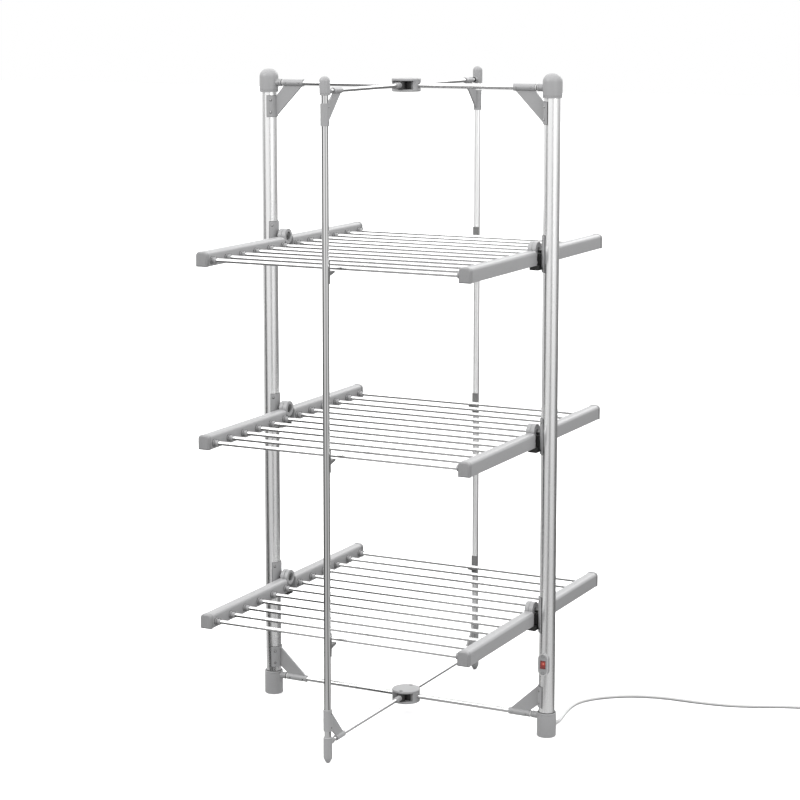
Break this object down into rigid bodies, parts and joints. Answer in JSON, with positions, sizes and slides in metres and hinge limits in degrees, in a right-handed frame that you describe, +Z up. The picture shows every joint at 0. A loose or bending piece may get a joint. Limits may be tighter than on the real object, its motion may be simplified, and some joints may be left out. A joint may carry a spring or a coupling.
{
  "type": "heated clothes airer",
  "caption": "Free-standing three-tier heated clothes airer: winged shelves of warm bars on a post frame with swing-out legs, a lit rocker switch and a mains lead.",
  "frame": {"origin": "on the floor at the centre of the footprint of the unfolded airer, without its mains lead", "axes": "+Z up, +X through the thick posts towards the one with the switch, -Y towards the side the switch faces"},
  "size_m": [1.2787, 0.9232, 1.42],
  "materials": {
    "bar_aluminium": "bright satin",
    "black_plastic": "matt",
    "cable_pvc": "soft PVC",
    "grey_plastic": "fine matt",
    "light_pvc": "fine matt",
    "painted_steel": "satin",
    "red_plastic": "gloss, translucent",
    "satin_aluminium": "satin anodised",
    "steel": "dark"
  },
  "bodies": {
    "frame": {"cable_gland": "light_pvc", "crossbars": "painted_steel", "hinge_brackets": "grey_plastic", "hinge_stops": "black_plastic", "hub_pins": "steel", "left_post": "satin_aluminium", "lower_hub": "grey_plastic", "mains_cable": "cable_pvc", "mains_cable_coil": "cable_pvc", "mains_plug": "light_pvc", "post_feet": "grey_plastic", "post_gussets": "grey_plastic", "post_top_caps": "grey_plastic", "right_post": "satin_aluminium", "switch_bezel": "grey_plastic", "upper_hub": "grey_plastic"},
    "front_leg": {"front_leg_arms": "painted_steel", "front_leg_cap": "grey_plastic", "front_leg_clips": "grey_plastic", "front_leg_foot": "grey_plastic", "front_leg_gussets": "grey_plastic", "front_leg_post": "painted_steel"},
    "rear_leg": {"rear_leg_arms": "painted_steel", "rear_leg_cap": "grey_plastic", "rear_leg_clips": "grey_plastic", "rear_leg_foot": "grey_plastic", "rear_leg_gussets": "grey_plastic", "rear_leg_post": "painted_steel"},
    "rocker": {"switch_rocker": "red_plastic"},
    "lower_front_wing": {"lower_front_bar_collars": "grey_plastic", "lower_front_bars": "bar_aluminium", "lower_front_left_rail": "grey_plastic", "lower_front_rail_caps": "grey_plastic", "lower_front_right_rail": "grey_plastic"},
    "lower_rear_wing": {"lower_rear_bar_collars": "grey_plastic", "lower_rear_bars": "bar_aluminium", "lower_rear_left_rail": "grey_plastic", "lower_rear_rail_caps": "grey_plastic", "lower_rear_right_rail": "grey_plastic"},
    "middle_front_wing": {"middle_front_bar_collars": "grey_plastic", "middle_front_bars": "bar_aluminium", "middle_front_left_rail": "grey_plastic", "middle_front_rail_caps": "grey_plastic", "middle_front_right_rail": "grey_plastic"},
    "middle_rear_wing": {"middle_rear_bar_collars": "grey_plastic", "middle_rear_bars": "bar_aluminium", "middle_rear_left_rail": "grey_plastic", "middle_rear_rail_caps": "grey_plastic", "middle_rear_right_rail": "grey_plastic"},
    "upper_front_wing": {"upper_front_bar_collars": "grey_plastic", "upper_front_bars": "bar_aluminium", "upper_front_left_rail": "grey_plastic", "upper_front_rail_caps": "grey_plastic", "upper_front_right_rail": "grey_plastic"},
    "upper_rear_wing": {"upper_rear_bar_collars": "grey_plastic", "upper_rear_bars": "bar_aluminium", "upper_rear_left_rail": "grey_plastic", "upper_rear_rail_caps": "grey_plastic", "upper_rear_right_rail": "grey_plastic"}
  },
  "joints": [
    {"name": "front_leg_swing", "type": "hinge", "parent": "frame", "child": "front_leg", "pos_m": [0, -0.025, 0.717], "axis": [0, 0, 1], "range_deg": [0, 78]},
    {"name": "rear_leg_swing", "type": "hinge", "parent": "frame", "child": "rear_leg", "pos_m": [0, 0.025, 0.717], "axis": [0, 0, 1], "range_deg": [0, 78]},
    {"name": "lower_front_wing_fold", "type": "hinge", "parent": "frame", "child": "lower_front_wing", "pos_m": [0, 0, 0.2755], "axis": [-1, 0, 0], "range_deg": [0, 85.9]},
    {"name": "lower_rear_wing_fold", "type": "hinge", "parent": "frame", "child": "lower_rear_wing", "pos_m": [0, 0, 0.2755], "axis": [1, 0, 0], "range_deg": [0, 85.9]},
    {"name": "middle_front_wing_fold", "type": "hinge", "parent": "frame", "child": "middle_front_wing", "pos_m": [0, 0, 0.6635], "axis": [-1, 0, 0], "range_deg": [0, 85.9]},
    {"name": "middle_rear_wing_fold", "type": "hinge", "parent": "frame", "child": "middle_rear_wing", "pos_m": [0, 0, 0.6635], "axis": [1, 0, 0], "range_deg": [0, 85.9]},
    {"name": "upper_front_wing_fold", "type": "hinge", "parent": "frame", "child": "upper_front_wing", "pos_m": [0, 0, 1.0515], "axis": [-1, 0, 0], "range_deg": [0, 85.9]},
    {"name": "upper_rear_wing_fold", "type": "hinge", "parent": "frame", "child": "upper_rear_wing", "pos_m": [0, 0, 1.0515], "axis": [1, 0, 0], "range_deg": [0, 85.9]},
    {"name": "switch_rocker_tilt", "type": "hinge", "parent": "frame", "child": "rocker", "pos_m": [0.338, -0.02145, 0.163], "axis": [1, 0, 0], "range_deg": [0, 14]}
  ],
  "couplings": [
    {"joint": "lower_front_wing_fold", "follows": "front_leg_swing", "ratio": 1.1},
    {"joint": "lower_rear_wing_fold", "follows": "rear_leg_swing", "ratio": 1.1},
    {"joint": "middle_front_wing_fold", "follows": "front_leg_swing", "ratio": 1.1},
    {"joint": "middle_rear_wing_fold", "follows": "rear_leg_swing", "ratio": 1.1},
    {"joint": "upper_front_wing_fold", "follows": "front_leg_swing", "ratio": 1.1},
    {"joint": "upper_rear_wing_fold", "follows": "rear_leg_swing", "ratio": 1.1}
  ]
}
